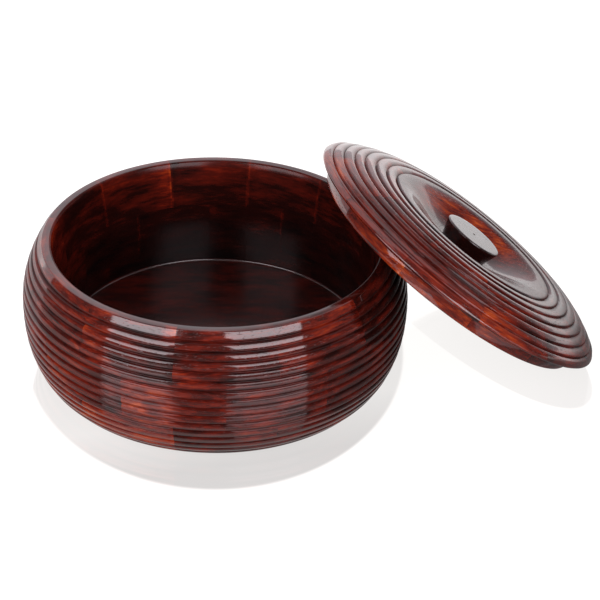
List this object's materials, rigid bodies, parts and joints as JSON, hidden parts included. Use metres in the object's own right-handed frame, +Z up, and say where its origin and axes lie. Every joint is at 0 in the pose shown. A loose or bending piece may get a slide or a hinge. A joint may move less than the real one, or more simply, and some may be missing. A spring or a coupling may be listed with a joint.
{
  "type": "wooden roti box",
  "caption": "Round bellied wooden box for flat breads with turned ribs outside, and a ribbed lid with a dished middle and a knob, shown leaning on the rim.",
  "frame": {"origin": "centre of the box's underside, on the table", "axes": "+Z up along the box's axis, +X towards the side where the lid leans on the rim"},
  "size_m": [0.3478, 0.2384, 0.1242],
  "materials": {
    "wall_wood": "glossy red-brown lacquer over turned blocks",
    "floor_wood": "glossy dark red-brown lacquer",
    "lid_wood": "glossy red-brown lacquer over turned blocks",
    "knob_wood": "glossy dark red-brown lacquer",
    "dowel_wood": "bare wood, glued in"
  },
  "bodies": {
    "box": {"wall_block_top_01": "wall_wood", "wall_block_top_02": "wall_wood", "wall_block_top_03": "wall_wood", "wall_block_top_04": "wall_wood", "wall_block_top_05": "wall_wood", "wall_block_top_06": "wall_wood", "wall_block_top_07": "wall_wood", "wall_block_top_08": "wall_wood", "wall_block_top_09": "wall_wood", "wall_block_top_10": "wall_wood", "wall_block_top_11": "wall_wood", "wall_block_top_12": "wall_wood", "wall_block_middle_01": "wall_wood", "wall_block_middle_02": "wall_wood", "wall_block_middle_03": "wall_wood", "wall_block_middle_04": "wall_wood", "wall_block_middle_05": "wall_wood", "wall_block_middle_06": "wall_wood", "wall_block_middle_07": "wall_wood", "wall_block_middle_08": "wall_wood", "wall_block_middle_09": "wall_wood", "wall_block_middle_10": "wall_wood", "wall_block_middle_11": "wall_wood", "wall_block_middle_12": "wall_wood", "wall_block_bottom_01": "wall_wood", "wall_block_bottom_02": "wall_wood", "wall_block_bottom_03": "wall_wood", "wall_block_bottom_04": "wall_wood", "wall_block_bottom_05": "wall_wood", "wall_block_bottom_06": "wall_wood", "wall_block_bottom_07": "wall_wood", "wall_block_bottom_08": "wall_wood", "wall_block_bottom_09": "wall_wood", "wall_block_bottom_10": "wall_wood", "wall_block_bottom_11": "wall_wood", "wall_block_bottom_12": "wall_wood", "floor_disc": "floor_wood"},
    "lid": {"lid_block_01": "lid_wood", "lid_block_02": "lid_wood", "lid_block_03": "lid_wood", "lid_block_04": "lid_wood", "lid_block_05": "lid_wood", "lid_block_06": "lid_wood", "lid_block_07": "lid_wood", "lid_block_08": "lid_wood", "lid_block_09": "lid_wood", "lid_block_10": "lid_wood", "lid_block_11": "lid_wood", "lid_block_12": "lid_wood", "lid_centre_disc": "lid_wood", "knob": "knob_wood", "knob_dowel": "dowel_wood"}
  },
  "joints": [
    {"name": "lid_lift", "type": "slide", "parent": "box", "child": "lid", "axis": [0, 0, 1], "range_m": [0, 0.12]}
  ]
}
